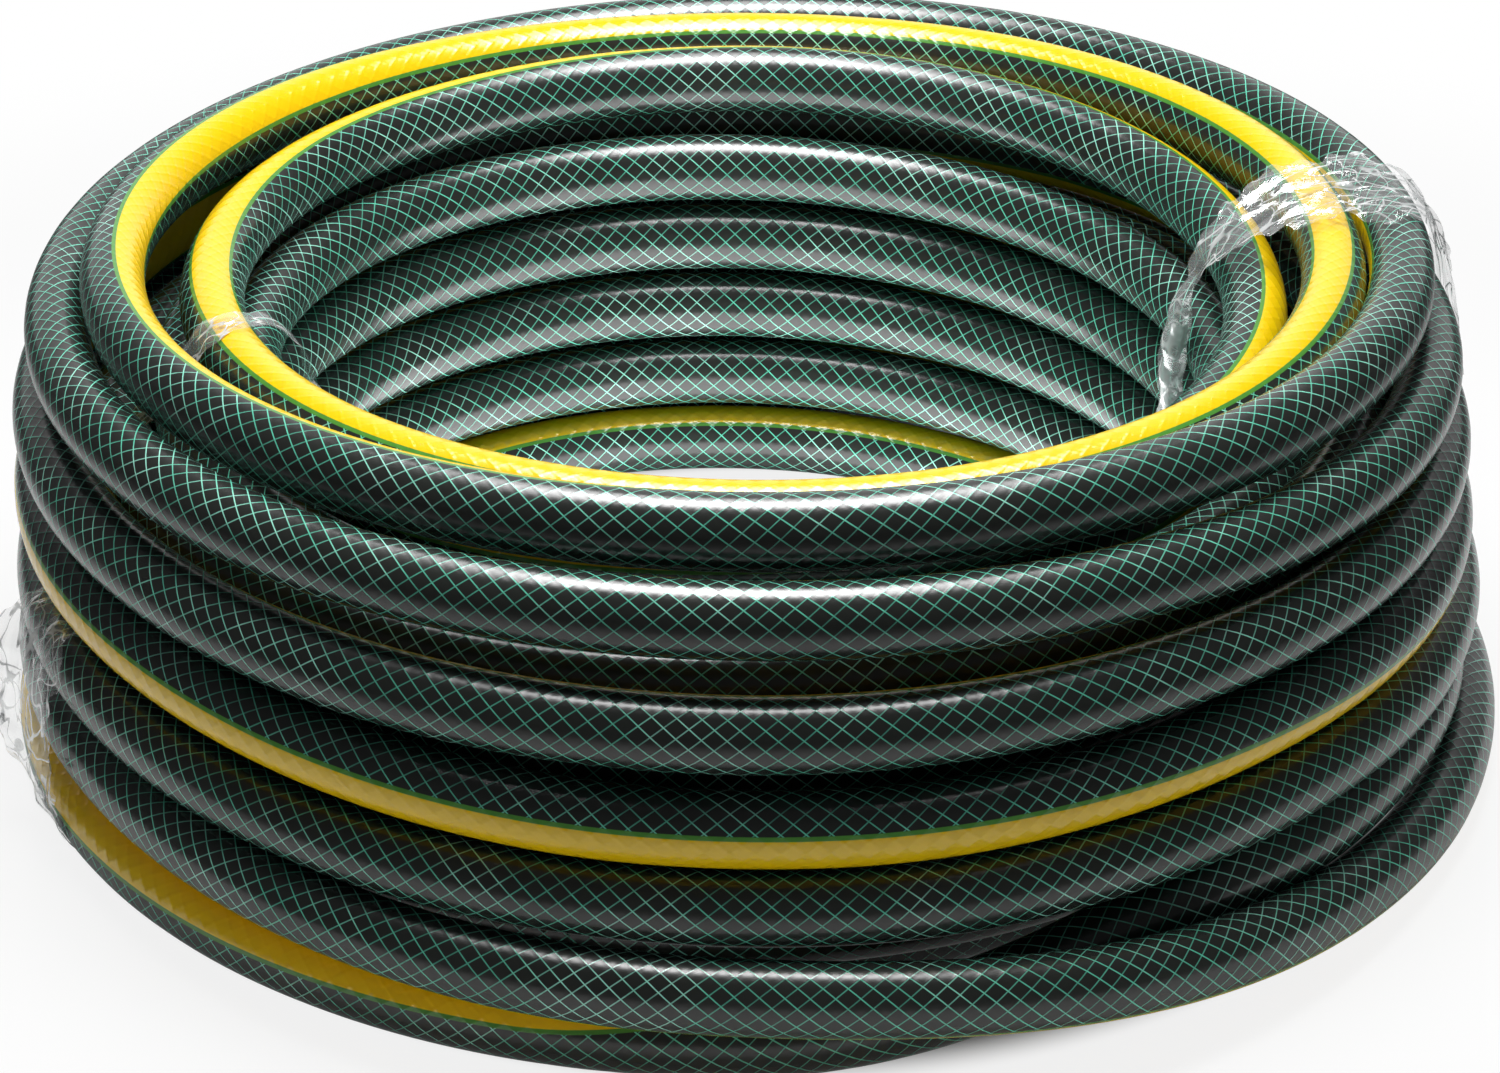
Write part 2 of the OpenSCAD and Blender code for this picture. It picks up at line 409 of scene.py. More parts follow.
@dataclass(frozen=True)
class FilmFinish:
    """Clear stretch film: bright slivers and milky folds over what lies behind it."""

    colour: tuple[float, float, float] = (0.86, 0.88, 0.88)
    # how much of what lies behind is hidden: everywhere, and more on a crease,
    # on a milky fold and on the strand
    clear_share: float = 0.17
    fold_share: float = 0.75
    milky_share: float = 0.20
    strand_share: float = 0.20
    # where along the film the strand ends, in metres
    strand_end: tuple[float, float] = (0.09, 0.18)
    roughness: float = 0.09
    metal: float = 0.40
    bump: float = 0.55

    def sliver(self, graph: Graph, place: Val, scale: float, width: float) -> Val:
        """Thin bright creases, where a noise crosses its middle value.

        Args:
            graph: The material's graph.
            place: Where the noise is read.
            scale: The noise's scale.
            width: Half the band of noise values that counts as a crease.

        Returns:
            1 on a crease and 0 beside it.
        """
        return abs(graph.noise(place, scale, 1.0) - 0.5).step(0.0, width, FALL)

    def make(self) -> bpy.types.Material:
        """Builds the film's material.

        Returns:
            The material. It reads the UV map "film": metres along the film and
            across it.
        """
        g = Graph("tie_film")
        along, across = g.uv("film")
        streak = g.add("ShaderNodeCombineXYZ", {}, {0: along * 45.0, 1: across * 160.0, 2: 0.0})
        place = g.place()
        creases = self.sliver(g, streak, 1.1, 0.03).most(self.sliver(g, place, 75.0, 0.018))
        milky = g.noise(streak, 0.8, 3.0).step(0.46, 0.72)
        # the strand in the eye, where the film starts, is many layers thick
        strand = along.step(*self.strand_end, FALL) * self.strand_share
        cover = creases * self.fold_share + milky * self.milky_share + strand + self.clear_share
        normal = g.bump(g.noise(streak, 2.6, 3.0, 0.6), self.bump, 0.0006)
        clear = g.add("ShaderNodeBsdfTransparent", {}, {"Color": WHITE})
        skin = g.skin(rgba(self.colour), self.roughness, normal, 1.50, self.metal)
        surface = g.add("ShaderNodeMixShader", {}, {0: cover.held(), 1: clear, 2: skin})
        return g.finish(surface)


# --------------------------------------------------------------------- the meshes


def grid_mesh(
    name: str,
    points: np.ndarray,
    uv: np.ndarray,
    uv_name: str,
    closed: bool,
    normals: np.ndarray | None = None,
    smooth: bool = True,
    folds: int = 1,
) -> bpy.types.Object:
    """Makes a mesh of quads from a grid of points.

    Quad (r, c) has the corners (r, c), (r + 1, c), (r + 1, c + 1), (r, c + 1),
    so it faces outwards where columns run anticlockwise seen against the rows.

    Args:
        name: The object's name.
        points: Rows by columns by 3, in metres.
        uv: Rows by columns (+ 1 where closed) by 2.
        uv_name: The UV map's name.
        closed: Whether the last column joins the first.
        normals: Rows by columns by 3, for smooth shading across piece ends.
        smooth: Whether faces are shaded smooth.
        folds: Stretches that a long strip's second UV map is cut into.

    Returns:
        The object.
    """
    rows, cols = points.shape[:2]
    r, c = np.meshgrid(np.arange(rows - 1), np.arange(cols if closed else cols - 1), indexing="ij")
    right = (c + 1) % cols
    quads = np.stack(
        [r * cols + c, (r + 1) * cols + c, (r + 1) * cols + right, r * cols + right], -1
    ).reshape(-1, 4)
    wide = uv.shape[1]
    corner = np.stack(
        [r * wide + c, (r + 1) * wide + c, (r + 1) * wide + c + 1, r * wide + c + 1], -1
    ).reshape(-1)
    mesh = bpy.data.meshes.new(name)
    mesh.vertices.add(rows * cols)
    mesh.vertices.foreach_set("co", points.reshape(-1).astype(np.float32))
    mesh.loops.add(quads.size)
    mesh.loops.foreach_set("vertex_index", quads.reshape(-1).astype(np.int32))
    mesh.polygons.add(len(quads))
    mesh.polygons.foreach_set("loop_start", np.arange(0, quads.size, 4, dtype=np.int32))
    mesh.update(calc_edges=True)
    mesh.polygons.foreach_set("use_smooth", np.full(len(quads), smooth))
    layer = mesh.uv_layers.new(name=uv_name)
    layer.data.foreach_set("uv", uv.reshape(-1, 2)[corner].reshape(-1).astype(np.float32))
    if folds > 1:
        # a long strip is cut into as many stretches, one above the other in the square
        span = math.ceil((rows - 1) / folds)
        row, start = (r // span).reshape(-1, 1), (r % span).reshape(-1, 1)
        u = (start + np.array([0, 1, 1, 0])) / span
        v = (row + 0.03 + 0.94 * (c.reshape(-1, 1) + np.array([0, 0, 1, 1])) / cols) / folds
        packed = mesh.uv_layers.new(name="OFBake")
        packed.data.foreach_set("uv", np.stack([u, v], -1).reshape(-1).astype(np.float32))
    mesh.validate()
    if normals is not None:
        mesh.normals_split_custom_set_from_vertices(normals.reshape(-1, 3).tolist())
    obj = bpy.data.objects.new(name, mesh)
    bpy.context.scene.collection.objects.link(obj)
    return obj


def dress(obj: bpy.types.Object, material: bpy.types.Material) -> None:
    """Gives a new piece its material, and lets it ride on the part.

    Args:
        obj: The piece.
        material: Its material.
    """
    obj.data.materials.clear()
    obj.data.materials.append(material)
    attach(obj, ROOT)


def ease(t: np.ndarray) -> np.ndarray:
    """Smooth step of t: 3 t^2 - 2 t^3 between 0 and 1, held outside."""
    t = np.clip(t, 0.0, 1.0)
    return t * t * (3 - 2 * t)


def ran(u: np.ndarray, low: float, high: float) -> np.ndarray:
    """How far u has run along the span from low to high."""
    return np.clip(u, low, high) - low


# ------------------------------------------------------------------ the hose route


@dataclass(frozen=True)
class Move:
    """A smooth move: the turn it starts at, the turns it takes and its size."""

    turn: float
    takes: float
    step: float

    def at(self, u: np.ndarray) -> np.ndarray:
        """How much of the move is done at turn u."""
        return self.step * ease((u - self.turn) / self.takes)


# moves of the middle line outwards, in hose widths
SHIFTS = (
    Move(-9.75, 0.5, -1), Move(-5.03, 0.46, -1), Move(0, 0.35, 0.45), Move(0.7, 0.6, 1.05),
    Move(1.5, 0.35, 0.5), Move(1.9, 0.6, 0.8), Move(3, 0.4, 0.25), Move(6.08, 0.2, 0.09),
    Move(6.35, 0.4, -0.1), Move(6.82, 0.3, 0.65), Move(7.05, 0.12, -0.31),
    Move(7.18, 0.15, 0.14), Move(7.5, 0.55, -0.84), Move(8.03, 0.1, -0.18),
    Move(8.16, 0.14, 0.17),
    # the last turn leans on the floor turn, and leaves it before its end
    Move(8.07, 0.07, 0.33), Move(8.2, 0.1, -0.33),
)
# moves of the middle line upwards, in hose heights
LIFTS = (
    Move(0.04, 0.45, 0.7), Move(0.6, 0.4, 0.24), Move(0.75, 0.6, 0.08), Move(1.25, 0.35, -0.24),
    Move(1.45, 0.35, 0.41), Move(1.7, 0.3, 0.13), Move(1.95, 0.8, -0.82), Move(2.95, 0.35, -0.64),
    Move(4, 0.12, 0.075), Move(4.84, 0.14, -0.19), Move(5.02, 0.12, 0.22), Move(5.2, 0.5, -0.13),
    Move(6.02, 0.12, 0.18), Move(6.2, 0.5, -0.08),
    # the same lean of the last turn
    Move(8.06, 0.08, 0.13), Move(8.2, 0.1, -0.13),
)
# the last turn climbs onto the floor turn as it tucks in
END_CLIMB = Move(8, 0.12, 0.88)
# the stripe turns round the hose as the hose is wound, in degrees
ROLLS = (
    Move(-13.5, 0.8, 140), Move(-6.2, 0.6, -146), Move(-4.4, 0.5, -104), Move(-0.6, 0.7, 50),
    Move(0.42, 0.2, 25), Move(0.62, 0.2, 30), Move(1.45, 0.35, 40), Move(1.95, 0.12, 60),
    Move(2.3, 0.6, 15), Move(2.9, 0.2, 49), Move(3.2, 0.5, -89), Move(3.83, 0.1, -32),
    Move(4.05, 0.12, 40), Move(4.25, 0.42, -193), Move(4.7, 0.3, -10), Move(5.02, 0.25, -30),
    Move(5.35, 0.5, -95), Move(6.2, 0.75, 60), Move(6.98, 0.2, 20), Move(7.2, 0.5, 112),
    Move(7.72, 0.3, 18), Move(7.95, 0.1, 100),
)


@dataclass(frozen=True)
class HoseRoute:
    """The hose's middle line and its oval section, as functions of the turn.

    Turn 0 is the top of the inner layer at the front, and turns run
    anticlockwise seen from above. The hose climbs the middle layer from the
    floor, comes down the next, climbs the inner one, winds outwards over the
    top, comes down outside, and its last turn tucks in behind the one before.
    """

    # the turns at which the wound line starts and ends
    first: float = -13.78
    last: float = 8.3
    # radius of the eye
    eye: float = 138.3
    # the section: its diameter at the cut ends, and its width and height in the coil
    round_d: float = 20.75
    wide: float = 19.35
    high: float = 21.95
    round_span: float = 0.15
    # spaces between turns: side by side, in the middle layers, and in the others
    side_gap: float = 0.6
    middle_gap: float = 3.7
    loose_gap: float = 3.0
    # the turns between which the hose climbs or comes down in each layer
    middle_up: float = -9.6
    next_down: tuple[float, float] = (-9.37, -4.92)
    inner_up: tuple[float, float] = (-4.65, 0.0)
    outer_down: tuple[float, float] = (3.3, 6.95)
    floor_drop: tuple[float, float] = (6.99, 0.21)
    # the outer layer widens and moves over by these shares of a width each turn
    widens: tuple[float, float] = (3.4, 7.0)
    widening: float = 0.075
    leans: tuple[float, float] = (3.0, 7.0)
    lean: tuple[float, float] = (0.03, -0.065)
    # a straight stretch, and the cut end after it
    straight: float = 21.0
    open_end: float = 20.0
    # the coil's axis, and the stripe's direction before its moves
    place: tuple[float, float] = (-5.56273, 4.87331)
    first_roll: float = 100.0

    def roundness(self, u: np.ndarray) -> np.ndarray:
        """1 at the cut ends, where nothing presses on the hose, and 0 in the coil."""
        start, end = (u - self.first) / self.round_span, (u - self.last) / self.round_span
        return 1 - ease(start) + ease(end + 1)

    def half_wide(self, u: np.ndarray) -> np.ndarray:
        """Half the section's width."""
        return (self.wide + (self.round_d - self.wide) * self.roundness(u)) / 2

    def half_high(self, u: np.ndarray) -> np.ndarray:
        """Half the section's height."""
        return (self.high + (self.round_d - self.high) * self.roundness(u)) / 2

    def radius(self, u: np.ndarray) -> np.ndarray:
        """Distance of the middle line from the coil's axis.

        It is the middle layer's radius, two steps outside the inner one's, plus
        a step times the moves done, plus the outer layer's steady widening.

        Args:
            u: Turns.

        Returns:
            Radii in millimetres.
        """
        step = self.wide + self.side_gap
        start = self.eye + self.wide / 2 + 2 * step
        moved = sum(move.at(u) for move in SHIFTS)
        return start + step * moved + self.widening * step * ran(u, *self.widens)

    def height(self, u: np.ndarray) -> np.ndarray:
        """Height of the middle line over the floor.

        It is half the section, plus the climb in the middle layer, less the same
        climb in the next, plus the climb in the inner layer, less the way down
        outside, plus the moves done. What is then left over the floor is dropped
        as the floor turn starts, and the last turn climbs onto that turn.

        Args:
            u: Turns.

        Returns:
            Heights in millimetres.
        """
        middle, loose = self.high + self.middle_gap, self.high + self.loose_gap
        climbed = middle * (self.middle_up - self.first)
        next_turns, inner_turns, outer_turns = (
            end - start for start, end in (self.next_down, self.inner_up, self.outer_down)
        )
        left = loose * (inner_turns - outer_turns) + self.high * sum(m.step for m in LIFTS)
        drop_start, drop_takes = self.floor_drop
        return (
            self.half_high(u)
            + middle * ran(u, self.first, self.middle_up)
            - climbed / next_turns * ran(u, *self.next_down)
            + loose * (ran(u, *self.inner_up) - ran(u, *self.outer_down))
            + self.high * sum(move.at(u) for move in LIFTS)
            - left * ease((u - drop_start) / drop_takes)
            + self.high * END_CLIMB.at(u)
        )

    def middle(self, u: np.ndarray) -> np.ndarray:
        """Points of the wound middle line.

        A point lies at its radius and height round the axis, which moves over
        steadily while the outer layer comes down.

        Args:
            u: Turns.

        Returns:
            Points in millimetres.
        """
        u = np.asarray(u, float)
        r = self.radius(u)
        over = (self.wide + self.side_gap) * ran(u, *self.leans)
        x = self.place[0] + self.lean[0] * over + r * np.sin(2 * np.pi * u)
        y = self.place[1] + self.lean[1] * over - r * np.cos(2 * np.pi * u)
        return np.stack([x, y, self.height(u)], -1)

    def roll(self, u: np.ndarray) -> np.ndarray:
        """Direction of the stripe in degrees: 0 outwards, 90 up, 180 to the eye."""
        return self.first_roll + sum(move.at(u) for move in ROLLS)

    def line(self, per_turn: int) -> "HoseLine":
        """The whole middle line, with its straight ends, as arrays.

        Each end runs on level, the way the wound line leaves its last point.

        Args:
            per_turn: Points in a turn.

        Returns:
            The line, in metres.
        """
        turns = np.linspace(self.first, self.last, int((self.last - self.first) * per_turn) + 1)
        wound = self.middle(turns)
        end_points, near = 11, 1e-3
        out = []
        for end, inner in ((0, 1), (-1, -2)):
            way = wound[end] - self.middle(turns[end] + (turns[inner] - turns[end]) * near)
            way[2] = 0.0
            way /= np.linalg.norm(way)
            run = np.linspace(0.0, self.straight + self.open_end, end_points + 1)[1:, None]
            out.append(wound[end] + way * run)
        points = np.concatenate([out[0][::-1], wound, out[1]])
        u = np.pad(turns, end_points, mode="edge")
        return HoseLine(points * MM, u, self)


class HoseLine:
    """The hose's middle line with its directions, section and stripe."""

    def __init__(self, points: np.ndarray, turns: np.ndarray, route: HoseRoute) -> None:
        """Works out the line's directions and section.

        Args:
            points: The line's points, in metres.
            turns: The turn of each point.
            route: The route that gives the section and the stripe.
        """
        self.points = points
        runs = np.linalg.norm(np.diff(points, axis=0), axis=1)
        self.along = np.concatenate([[0], np.cumsum(runs)])
        tangent = np.gradient(points, self.along, axis=0)
        self.tangent = tangent / np.linalg.norm(tangent, axis=1, keepdims=True)
        side = np.cross(self.tangent, [0.0, 0.0, 1.0])
        self.side = side / np.linalg.norm(side, axis=1, keepdims=True)
        self.up = np.cross(self.side, self.tangent)
        self.half_wide = route.half_wide(turns) * MM
        self.half_high = route.half_high(turns) * MM
        self.roll = np.radians(route.roll(turns))

    def surface(
        self, rows: slice, columns: int, scale: float = 1.0
    ) -> tuple[np.ndarray, np.ndarray, np.ndarray]:
        """A stretch of the hose's surface as a grid.

        A point is the middle plus side * half width * cos(a) plus up * half
        height * sin(a), where a is the stripe's direction plus a share of the
        way round. Its normal is that of the ellipse.

        Args:
            rows: The stretch of the line.
            columns: Points round the hose.
            scale: Share of the section, less than 1 for an inner layer.

        Returns:
            Points, normals and UV (metres along, turns round from the stripe).
        """
        share = np.arange(columns) / columns - 0.5
        angle = self.roll[rows, None] + 2 * np.pi * share
        cos, sin = np.cos(angle)[..., None], np.sin(angle)[..., None]
        wide = self.half_wide[rows, None, None] * scale
        high = self.half_high[rows, None, None] * scale
        side, up = self.side[rows, None], self.up[rows, None]
        points = self.points[rows, None] + side * wide * cos + up * high * sin
        normals = side * cos / wide + up * sin / high
        normals /= np.linalg.norm(normals, axis=-1, keepdims=True)
        wide_share = np.arange(columns + 1) / columns - 0.5
        uv = np.stack(np.broadcast_arrays(self.along[rows, None], wide_share[None]), -1)
        return points, normals, uv


@dataclass
class Hose:
    """The hose: its inner tube, and its cover in one stretch for each turn."""

    route: HoseRoute
    # points of the line in a turn, and of the cover round the hose
    per_turn: int = 288
    columns: int = 32
    # the inner tube: its share of the section, and its coarser grid
    liner_share: float = 0.85
    liner_step: int = 6
    liner_columns: int = 12
    # stretches that a cover's second UV map is folded into
    bake_rows: int = 4
    # a step through the line's points, which nothing reads
    path_step: int = 4

    def build(self) -> bpy.types.Object:
        """Returns:
            The inner tube.
        """
        line = self.route.line(self.per_turn)
        self.line = line
        cover = CoverFinish().make()
        cuts = list(range(0, len(line.points) - 1, self.per_turn)) + [len(line.points) - 1]
        if cuts[-1] - cuts[-2] < self.per_turn // 2:
            del cuts[-2]
        for number, (a, b) in enumerate(zip(cuts, cuts[1:], strict=False), 1):
            points, normals, uv = line.surface(slice(a, b + 1), self.columns)
            name = f"cover_{number:02d}"
            piece = grid_mesh(name, points, uv, "hose", True, normals, folds=self.bake_rows)
            dress(piece, cover)
            log.info("%s: %.3f to %.3f m", piece.name, line.along[a], line.along[b])
        inner = self.inner_tube(line)
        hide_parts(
            "hose_winding", "end_cover", "end_stripe", "end_line_upper", "end_line_lower",
            "start_cover", "start_stripe", "start_line_upper", "start_line_lower",
        )
        return inner

    def inner_tube(self, line: HoseLine) -> bpy.types.Object:
        """The tube under the yarn, between the two open ends.

        Args:
            line: The hose's middle line.

        Returns:
            The tube's object.
        """
        open_end = self.route.open_end * MM
        start, end = np.searchsorted(line.along, [open_end, line.along[-1] - open_end])
        rows = slice(start, end + 1, self.liner_step)
        points, normals, uv = line.surface(rows, self.liner_columns, self.liner_share)
        piece = grid_mesh("inner_tube", points, uv, "hose", True, normals)
        dress(piece, PlainFinish("inner_tube", (0.012, 0.018, 0.016), 0.4).make())
        return piece


# ------------------------------------------------------------------- the film ties


@dataclass
class Tie:
    """A band of crinkled clear film round the bundle at one place."""

    name: str
    node: str
    angle: float
    seed: int
    # the way round the bundle: radius, height, width of the film, size of its folds
    way: tuple[tuple[float, float, float, float], ...]
    # the film's width and length laid flat, in metres
    flat: tuple[float, float]
    # how far the lower edge stands off
    flare: float = 0.0
    # the strand in the eye: its radius, the height it ends at, the radius it
    # lies within, and the climb in which it turns once
    strand_r: float = 3.2
    strand_top: float = 138.0
    strand_reach: float = 142.0
    strand_lead: float = 70.0
    # the creases: length, height and slant of each wave
    waves: tuple[tuple[float, float, float], ...] = (
        (19, 1.3, 0.12), (12, 1.0, 0.3), (8, 0.8, 0.6), (5.5, 0.5, 0.9),
    )
    # spacing of the grid's rows, and its columns
    step: float = 0.8
    columns: int = 56

    def loop(self) -> np.ndarray:
        """The closed way with rounded corners and evenly spaced points.

        The corners are rounded by a running mean over the closed way, and the
        way is then pressed no lower than the floor.

        Returns:
            Rows of radius, height, width and fold size, in millimetres.
        """
        way = np.array(self.way + self.way[:1], float)
        gap = np.linalg.norm(np.diff(way[:, :2], axis=0), axis=1)
        far = np.concatenate([[0], np.cumsum(gap)])
        even = np.linspace(0, far[-1], int(far[-1] / self.step) + 1)[:-1]
        ring = np.stack([np.interp(even, far, way[:, i]) for i in range(4)], -1)
        count = len(ring)
        shift = np.arange(-4, 5)
        ring = ring[(np.arange(count)[:, None] + shift) % count].mean(axis=1)
        ring[:, 1] = np.maximum(ring[:, 1], 0.2)
        return np.concatenate([ring, ring[:1]])

    def folds(self, rng: np.random.Generator, s: np.ndarray, across: np.ndarray) -> np.ndarray:
        """Height of the creases: a sum of triangle waves at different slants.

        Args:
            rng: The tie's own random numbers.
            s: Length round the bundle.
            across: Place across the band.

        Returns:
            Heights from 0 to about 3, before the fold size is applied.
        """
        total = np.zeros(np.broadcast_shapes(s.shape, across.shape))
        for wave, size, slant in self.waves:
            turn = rng.normal(0, slant)
            bend = 0.5 * np.sin(2 * np.pi * (s / rng.uniform(45, 120) + rng.uniform()))
            phase = (across * np.cos(turn) + s * np.sin(turn)) / wave + bend + rng.uniform()
            total += size * 2 * np.abs(phase - np.round(phase))
        return total

    def build(self, route: HoseRoute, finish: bpy.types.Material) -> bpy.types.Object:
        """A point at length s round the bundle and w across the band is the way's
        point, moved w times the band's width along the turn and pushed outwards
        by the folds. The width wavers by two sines of s, and the band's lower
        edge flares out where flare is given.

        Args:
            route: The hose's route, for the coil's axis.
            finish: The film's material.

        Returns:
            The tie's object.
        """
        rng = np.random.default_rng(self.seed)
        ring = self.loop()
        r, z, wide, size = (ring[:, i : i + 1] for i in range(4))
        run = np.linalg.norm(np.diff(ring[:, :2], axis=0), axis=1)
        s = np.concatenate([[0], np.cumsum(run)])[:, None]
        w = np.linspace(-0.5, 0.5, self.columns)[None]
        ragged = 1 + 0.10 * np.sin(2 * np.pi * s / 23) + 0.07 * np.sin(2 * np.pi * s / 9.1)
        across = w * wide * ragged
        push = self.folds(rng, s, across) * size
        loose = np.clip(-2.4 * w - 0.2, 0, 1) ** 1.5 * self.flare * ease((size - 0.9) / 0.3)
        push = push + loose
        grow = np.gradient(ring[:, :2], axis=0)
        grow /= np.maximum(np.linalg.norm(grow, axis=1, keepdims=True), 1e-9)
        # in the eye the film is gathered into a strand, a tube that turns as it climbs
        inside = (r < self.strand_reach) & (z > 2.0) & (z < self.strand_top)
        part = inside * ease(z / 12) * ease((self.strand_top - z) / 14)
        turn = 2 * np.pi * (w + z / self.strand_lead)
        radius = self.strand_r * (0.8 + 0.25 * push)
        push = push + part * (radius * np.cos(turn) + self.strand_r - push)
        across = across + part * (radius * np.sin(turn) - across)
        rr = r - grow[:, 1:] * push
        zz = np.maximum(z + grow[:, :1] * push, 0.15)
        a = np.radians(self.angle) + across / r
        x = route.place[0] + rr * np.sin(a)
        y = route.place[1] - rr * np.cos(a)
        points = np.stack([x, y, zz], -1) * MM
        uv = np.stack(np.broadcast_arrays(s * MM, across * MM), -1)
        piece = grid_mesh(self.name, points, uv, "film", False, smooth=False)
        dress(piece, finish)
        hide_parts(self.node)
        log.info("%s: %.0f mm round the bundle", self.name, s[-1, 0])
        return piece


# ways round the bundle, up the eye, over the top, down outside and back below
RIGHT_WAY = (
    (136.5, 8, 11, 0.9), (136.0, 60, 10, 1.1), (136.3, 112, 11, 1.1), (138.0, 130, 12, 1.0),
    (143.0, 143, 17, 0.9), (152.0, 152, 30, 0.9), (166.0, 159.5, 42, 1.0), (178.0, 162.0, 46, 1.0),
    (190.0, 162.3, 47, 1.0), (204.0, 160.5, 46, 1.0), (210.0, 153.0, 44, 1.0),
    (215.0, 138.0, 38, 0.6), (219.0, 118.0, 32, 0.35), (221.5, 95.0, 28, 0.3),
    (224.0, 60.0, 26, 0.3), (228.5, 30.0, 26, 0.3), (233.0, 12.0, 26, 0.2),
    (229.0, 0.3, 24, 0.05), (180.0, 0.3, 20, 0.05), (141.0, 0.3, 12, 0.1),
)
LEFT_WAY = (
    (136.5, 10, 11, 0.8), (136.5, 60, 10, 0.9), (136.5, 128, 10, 0.8), (139.0, 145, 11, 0.7),
    (147.0, 154.5, 11, 0.7), (158.0, 157.3, 12, 0.6), (167.0, 154.0, 12, 0.4),
    (173.0, 146.0, 12, 0.2), (180.0, 138.5, 12, 0.1), (190.0, 130.0, 14, 0.1),
    (197.5, 119.0, 16, 0.1), (199.6, 105.0, 20, 0.1), (200.2, 86.0, 26, 0.1),
    (203.5, 76.5, 32, 0.2), (212.0, 74.2, 38, 0.4), (219.5, 73.0, 40, 0.9),
    (223.5, 62.0, 42, 1.1), (225.5, 45.0, 42, 1.2), (225.0, 25.0, 40, 1.2),
    (223.5, 11.0, 34, 0.9), (219.0, 0.4, 26, 0.2), (180.0, 0.3, 18, 0.05), (141.0, 0.3, 12, 0.1),
)
LEFT_WAVES = ((26, 1.5, 0.1), (17, 1.2, 0.25), (10, 0.7, 0.5))


# --------------------------------------------------------------- stage and camera


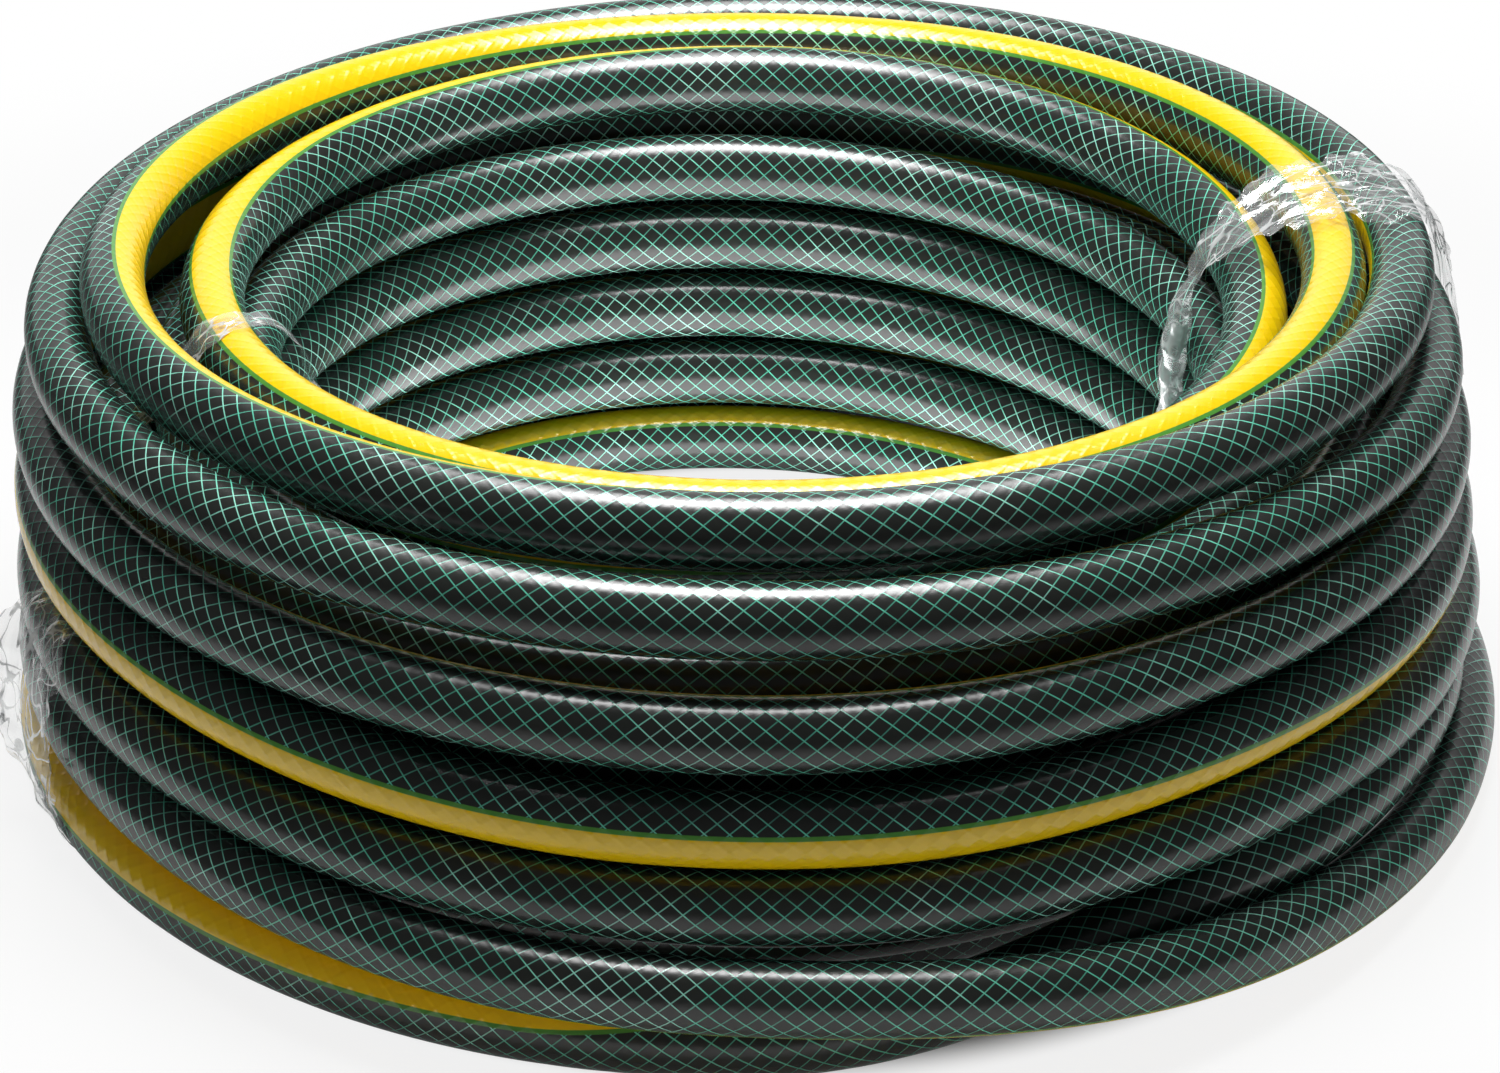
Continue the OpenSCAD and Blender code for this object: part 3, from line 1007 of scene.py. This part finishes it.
@dataclass
class Studio:
    """White floor, soft overhead light and the camera."""

    # the camera: its focal length in image widths, its sensor, its height over
    # the horizon in degrees, and what it looks at and from how far
    focal: float = 4801.5 / 1500
    sensor: float = 36.0
    elevation: float = 27.84
    distance: float = 1.4841
    target: tuple[float, float, float] = (-0.00244, 0.00491, 0.0546)
    # the dim room round the part
    gloom: tuple[float, float, float] = (0.075, 0.076, 0.078)
    # the floor: half its width, its height, and its colour far from the part and near it
    floor_half: float = 4.0
    floor_z: float = -0.0004
    floor_far: tuple[float, float, float] = (0.16, 0.16, 0.16)
    floor_near: tuple[float, float, float] = (0.82, 0.82, 0.82)
    # shares of the floor's white: kept back for the shadow, and shown in gloss
    shadow_share: float = 0.14
    gloss_share: float = 0.15

    def camera(self) -> None:
        """A camera in front of the coil, looking down at it a little."""
        data = bpy.data.cameras.new("camera")
        data.sensor_fit = "HORIZONTAL"
        data.sensor_width = self.sensor
        data.lens = self.focal * self.sensor
        data.clip_start, data.clip_end = 0.05, 50.0
        obj = bpy.data.objects.new("camera", data)
        e = math.radians(self.elevation)
        x, y, z = self.target
        obj.location = (x, y - self.distance * math.cos(e), z + self.distance * math.sin(e))
        obj.rotation_euler = (math.pi / 2 - e, 0.0, 0.0)
        bpy.context.scene.collection.objects.link(obj)
        bpy.context.scene.camera = obj

    def lamp(
        self,
        name: str,
        at: tuple[float, float, float],
        size: tuple[float, float],
        power: float,
        aim: tuple[float, float, float],
        gloss_only: bool = False,
    ) -> None:
        """Adds a soft box that the camera doesn't see.

        Args:
            name: Its name.
            at: Its place.
            size: Its width and depth.
            power: Its power in watts.
            aim: The point it faces.
            gloss_only: Whether it shows only in the part's gloss.
        """
        data = bpy.data.lights.new(name, "AREA")
        data.shape = "RECTANGLE"
        data.size, data.size_y = size
        data.energy = power
        obj = bpy.data.objects.new(name, data)
        obj.location = at
        way = np.array(aim) - np.array(at)
        yaw = math.atan2(way[1], way[0]) - math.pi / 2
        tilt = math.atan2(math.hypot(way[0], way[1]), -way[2])
        obj.rotation_euler = (tilt, 0.0, yaw)
        obj.visible_camera = False
        obj.visible_diffuse = not gloss_only
        bpy.context.scene.collection.objects.link(obj)

    def floor(self) -> None:
        """A wide white floor that the camera sees as white, with a faint shadow."""
        grid = np.array([-self.floor_half, self.floor_half])
        x, y = np.meshgrid(grid, grid, indexing="ij")
        points = np.stack([x, y, np.full_like(x, self.floor_z)], -1)
        obj = grid_mesh("floor", points, np.stack([x, y], -1), "floor", False)
        g = Graph("floor")
        rays = g.add("ShaderNodeLightPath", {}, out="Is Camera Ray")
        far = g.add("ShaderNodeVectorMath", {"operation": "LENGTH"}, {0: g.place()}, out="Value")
        table = far.step(0.30, 0.60, FALL)
        mirrored = (rays.beside("Is Glossy Ray") + rays.beside("Is Transmission Ray")) * table
        # no light reaches the floor under the bundle, so it shows dark between the turns
        under = far.step(0.156, 0.170) * far.step(0.195, 0.215, FALL)
        # elsewhere the camera sees white, less a share of the lit floor near the part
        open_floor = (1.0 - table * self.shadow_share) * (1.0 - under)
        seen = rays * open_floor + mirrored * self.gloss_share
        white = g.mix(table, rgba(self.floor_far), rgba(self.floor_near))
        matt = g.add("ShaderNodeBsdfDiffuse", {}, {"Color": white})
        glow = g.add("ShaderNodeEmission", {}, {"Color": WHITE, "Strength": 1.0})
        surface = g.add("ShaderNodeMixShader", {}, {0: seen.held(), 1: matt, 2: glow})
        obj.data.materials.append(g.finish(surface))

    def world(self) -> None:
        """White to the camera; to the part, a dim room with a white wall behind it."""
        g = Graph("studio", world=True)
        way = g.add("ShaderNodeTexCoord", {}, out="Generated")
        behind = g.add("ShaderNodeSeparateXYZ", {}, {0: way}, out="Y").step(0.60, 0.95)
        around = g.mix(behind, rgba(self.gloom), WHITE)
        camera = g.add("ShaderNodeLightPath", {}, out="Is Camera Ray")
        sky = g.add("ShaderNodeBackground", {}, {"Color": g.mix(camera, around, WHITE)})
        bpy.context.scene.world = g.finish(sky)

    def build(self) -> None:
        """Sets the stage, the lights and the camera."""
        self.camera()
        self.floor()
        self.world()
        self.lamp("top_box", (0.0, 0.05, 1.2), (0.50, 0.62), 17.0, aim=(0.0, 0.05, 0.0))
        # a wide pale ceiling that shows only in the gloss
        above = (0.0, 0.20, 1.25), (0.0, 0.20, 0.0)
        self.lamp("sheen", above[0], (1.0, 0.9), 25.0, aim=above[1], gloss_only=True)
        # the floor inside the coil glows: a low soft panel that faces up
        self.lamp("eye_panel", (0.0, 0.03, 0.003), (0.20, 0.17), 0.38, aim=(0.0, 0.03, 1.0))
        bpy.context.scene.view_settings.view_transform = "Standard"


def dress_cut_ends(frame: dict) -> None:
    """Gives the liner and yarn that show at the cut ends their materials.

    Args:
        frame: The loaded part, with its nodes by name.
    """
    finishes = {
        "_liner": PlainFinish("cut_liner", (0.020, 0.030, 0.026), 0.45).make(),
        "_yarn_": PlainFinish("cut_yarn", (0.25, 0.62, 0.48), 0.6).make(),
    }
    for name, obj in frame["nodes"].items():
        for word, finish in finishes.items():
            if word in name:
                obj.data.materials.clear()
                obj.data.materials.append(finish)


def main() -> None:
    """Builds the part's looks in order and reports each piece."""
    logging.basicConfig(level=logging.INFO, format="%(name)s: %(message)s")
    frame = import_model()
    Studio().build()
    route = HoseRoute()
    hose = Hose(route)
    hose.build()
    log.info("hose: %.3f m in %d turns", hose.line.along[-1], round(route.last - route.first))
    film = FilmFinish().make()
    right = Tie("film_right", "tie_right", 96.0, 7, RIGHT_WAY, (0.031, 0.462))
    right.build(route, film)
    left = Tie("film_left", "tie_left", 293.0, 11, LEFT_WAY, (0.026, 0.434), 5.0, waves=LEFT_WAVES)
    left.build(route, film)
    dress_cut_ends(frame)


if __name__ == "__main__":
    main()
